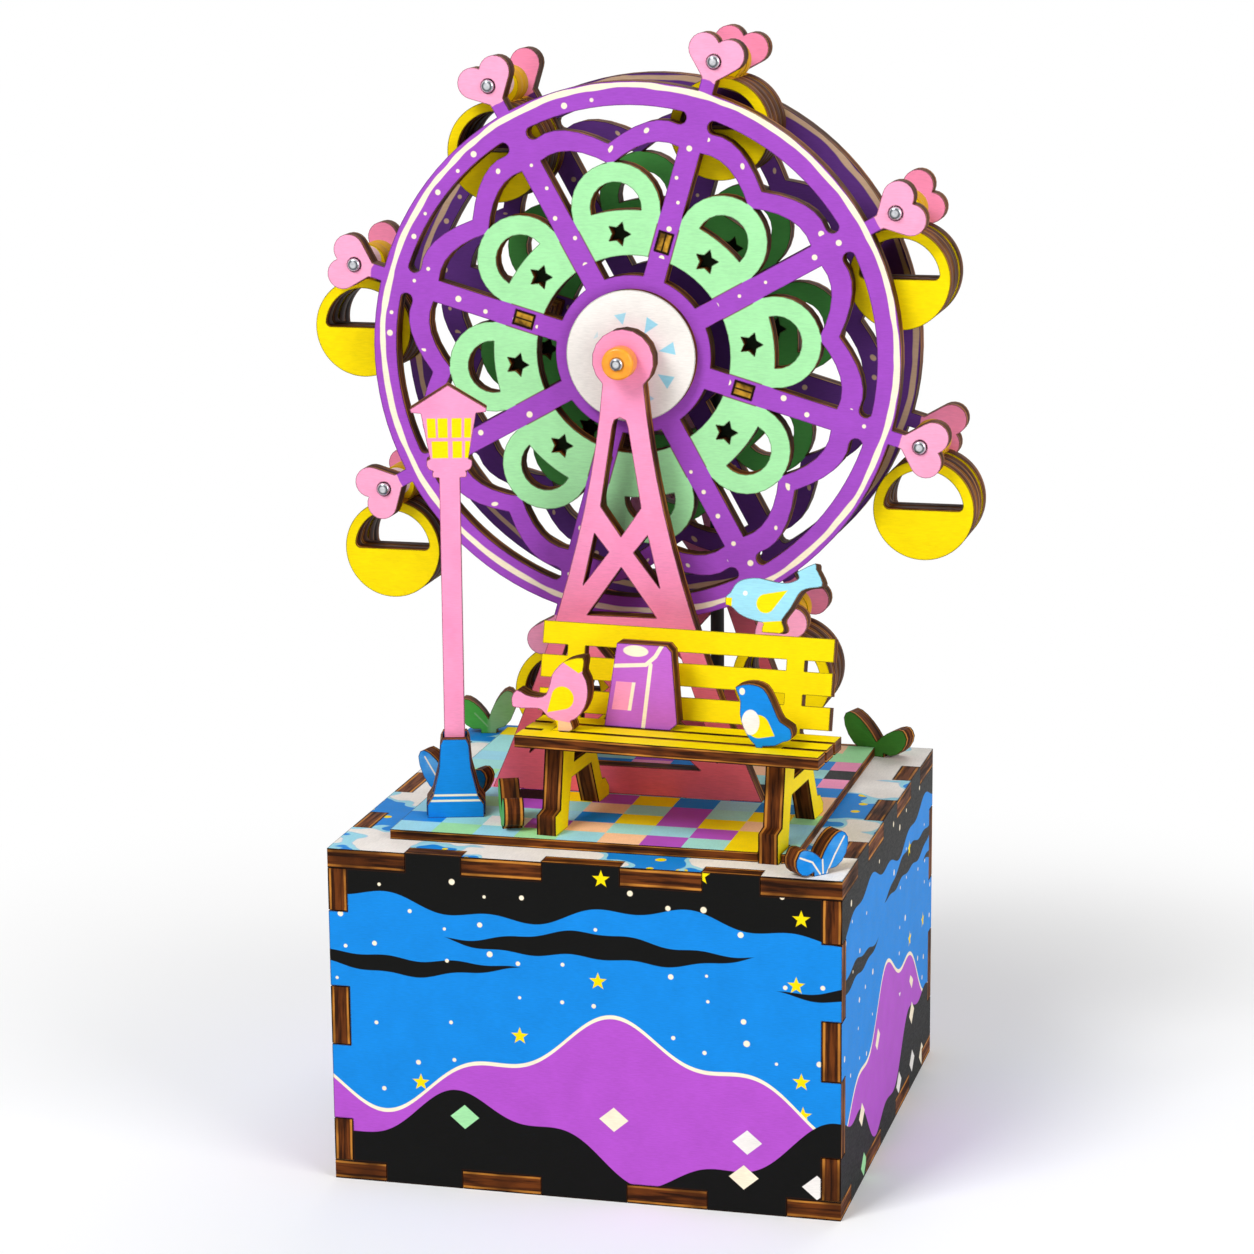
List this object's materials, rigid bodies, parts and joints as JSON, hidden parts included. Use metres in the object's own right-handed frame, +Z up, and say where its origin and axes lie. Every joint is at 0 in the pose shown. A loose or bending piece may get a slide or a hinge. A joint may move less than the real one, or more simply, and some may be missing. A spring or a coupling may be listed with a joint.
{
  "type": "crank ferris wheel toy",
  "caption": "Desk toy of printed laser-cut plywood: a hand crank on a finger-jointed box turns a ferris wheel with hanging gondolas behind a small park bench scene.",
  "frame": {"origin": "middle of the box's underside, on the surface it stands on", "axes": "+Z up along the height, -Y towards the front with the bench, +X to the viewer's right"},
  "size_m": [0.1042, 0.0938, 0.1699],
  "materials": {
    "ply_box_front": "satin",
    "ply_box_side": "satin",
    "ply_top": "satin",
    "ply_floor": "satin",
    "ply_bare": "satin",
    "ply_pink": "satin",
    "ply_wheel": "satin",
    "ply_hub": "satin",
    "ply_yellow": "satin",
    "ply_bird_pink": "satin",
    "ply_bird_blue": "satin",
    "ply_bird_light": "satin",
    "ply_bag": "satin",
    "ply_leaf_green": "satin",
    "ply_leaf_blue": "satin",
    "ply_lamp_base": "satin",
    "steel": "polished",
    "cap_orange": "gloss",
    "belt_rubber": "matt"
  },
  "bodies": {
    "base": {"bottom_plate": "ply_bare", "top_plate": "ply_top", "front_panel": "ply_box_front", "rear_panel": "ply_box_side", "left_panel": "ply_box_side", "right_panel": "ply_box_side", "floor_plate": "ply_floor", "front_frame": "ply_pink", "rear_frame": "ply_pink", "inner_bearing": "ply_bare", "drive_belt": "belt_rubber", "bench_seat": "ply_yellow", "bench_back": "ply_yellow", "bench_leg_left": "ply_yellow", "bench_leg_right": "ply_yellow", "lamp_post": "ply_pink", "lamp_base": "ply_lamp_base", "bird_perched": "ply_bird_light", "bird_pink": "ply_bird_pink", "bird_blue": "ply_bird_blue", "bag": "ply_bag", "leaf_rear_left": "ply_leaf_green", "leaf_rear_right": "ply_leaf_green", "leaf_lamp": "ply_leaf_blue", "leaf_front_right": "ply_leaf_blue", "leaf_front_left": "ply_leaf_green"},
    "wheel": {"front_wheel_plate": "ply_wheel", "rear_wheel_plate": "ply_wheel", "hub_cover": "ply_hub", "spacer_1": "ply_bare", "spacer_2": "ply_bare", "spacer_3": "ply_bare", "spacer_4": "ply_bare", "axle": "steel", "front_cap": "cap_orange", "rear_cap": "cap_orange", "wheel_pulley": "ply_bare", "gondola_pin_1": "steel", "gondola_pin_2": "steel", "gondola_pin_3": "steel", "gondola_pin_4": "steel", "gondola_pin_5": "steel", "gondola_pin_6": "steel", "gondola_pin_7": "steel", "gondola_pin_8": "steel"},
    "gondola_body_1": {"gondola_1": "ply_yellow"},
    "gondola_body_2": {"gondola_2": "ply_yellow"},
    "gondola_body_3": {"gondola_3": "ply_yellow"},
    "gondola_body_4": {"gondola_4": "ply_yellow"},
    "gondola_body_5": {"gondola_5": "ply_yellow"},
    "gondola_body_6": {"gondola_6": "ply_yellow"},
    "gondola_body_7": {"gondola_7": "ply_yellow"},
    "gondola_body_8": {"gondola_8": "ply_yellow"},
    "crank": {"crank_shaft": "steel", "crank_pulley": "ply_bare", "crank_arm": "ply_bare", "knob_pin": "steel"},
    "knob": {"crank_knob": "ply_yellow"}
  },
  "joints": [
    {"name": "wheel_spin", "type": "hinge", "parent": "base", "child": "wheel", "pos_m": [-0.0016, 0.0115, 0.1212], "axis": [0, 1, 0], "continuous": true},
    {"name": "gondola_1_swing", "type": "hinge", "parent": "wheel", "child": "gondola_body_1", "pos_m": [0.03878, 0.0115, 0.14354], "axis": [0, 1, 0], "continuous": true},
    {"name": "gondola_2_swing", "type": "hinge", "parent": "wheel", "child": "gondola_body_2", "pos_m": [0.01116, 0.0115, 0.16555], "axis": [0, 1, 0], "continuous": true},
    {"name": "gondola_3_swing", "type": "hinge", "parent": "wheel", "child": "gondola_body_3", "pos_m": [-0.02394, 0.0115, 0.16158], "axis": [0, 1, 0], "continuous": true},
    {"name": "gondola_4_swing", "type": "hinge", "parent": "wheel", "child": "gondola_body_4", "pos_m": [-0.04595, 0.0115, 0.13396], "axis": [0, 1, 0], "continuous": true},
    {"name": "gondola_5_swing", "type": "hinge", "parent": "wheel", "child": "gondola_body_5", "pos_m": [-0.04198, 0.0115, 0.09886], "axis": [0, 1, 0], "continuous": true},
    {"name": "gondola_6_swing", "type": "hinge", "parent": "wheel", "child": "gondola_body_6", "pos_m": [-0.01436, 0.0115, 0.07685], "axis": [0, 1, 0], "continuous": true},
    {"name": "gondola_7_swing", "type": "hinge", "parent": "wheel", "child": "gondola_body_7", "pos_m": [0.02074, 0.0115, 0.08082], "axis": [0, 1, 0], "continuous": true},
    {"name": "gondola_8_swing", "type": "hinge", "parent": "wheel", "child": "gondola_body_8", "pos_m": [0.04275, 0.0115, 0.10844], "axis": [0, 1, 0], "continuous": true},
    {"name": "crank_turn", "type": "hinge", "parent": "base", "child": "crank", "pos_m": [-0.0016, 0.0385, 0.026], "axis": [0, 1, 0], "continuous": true},
    {"name": "knob_spin", "type": "hinge", "parent": "crank", "child": "knob", "pos_m": [-0.0016, 0.0485, 0.009], "axis": [0, 1, 0], "continuous": true}
  ],
  "couplings": [
    {"joint": "gondola_1_swing", "follows": "wheel_spin", "ratio": -1},
    {"joint": "gondola_2_swing", "follows": "wheel_spin", "ratio": -1},
    {"joint": "gondola_3_swing", "follows": "wheel_spin", "ratio": -1},
    {"joint": "gondola_4_swing", "follows": "wheel_spin", "ratio": -1},
    {"joint": "gondola_5_swing", "follows": "wheel_spin", "ratio": -1},
    {"joint": "gondola_6_swing", "follows": "wheel_spin", "ratio": -1},
    {"joint": "gondola_7_swing", "follows": "wheel_spin", "ratio": -1},
    {"joint": "gondola_8_swing", "follows": "wheel_spin", "ratio": -1},
    {"joint": "crank_turn", "follows": "wheel_spin", "ratio": 1}
  ]
}
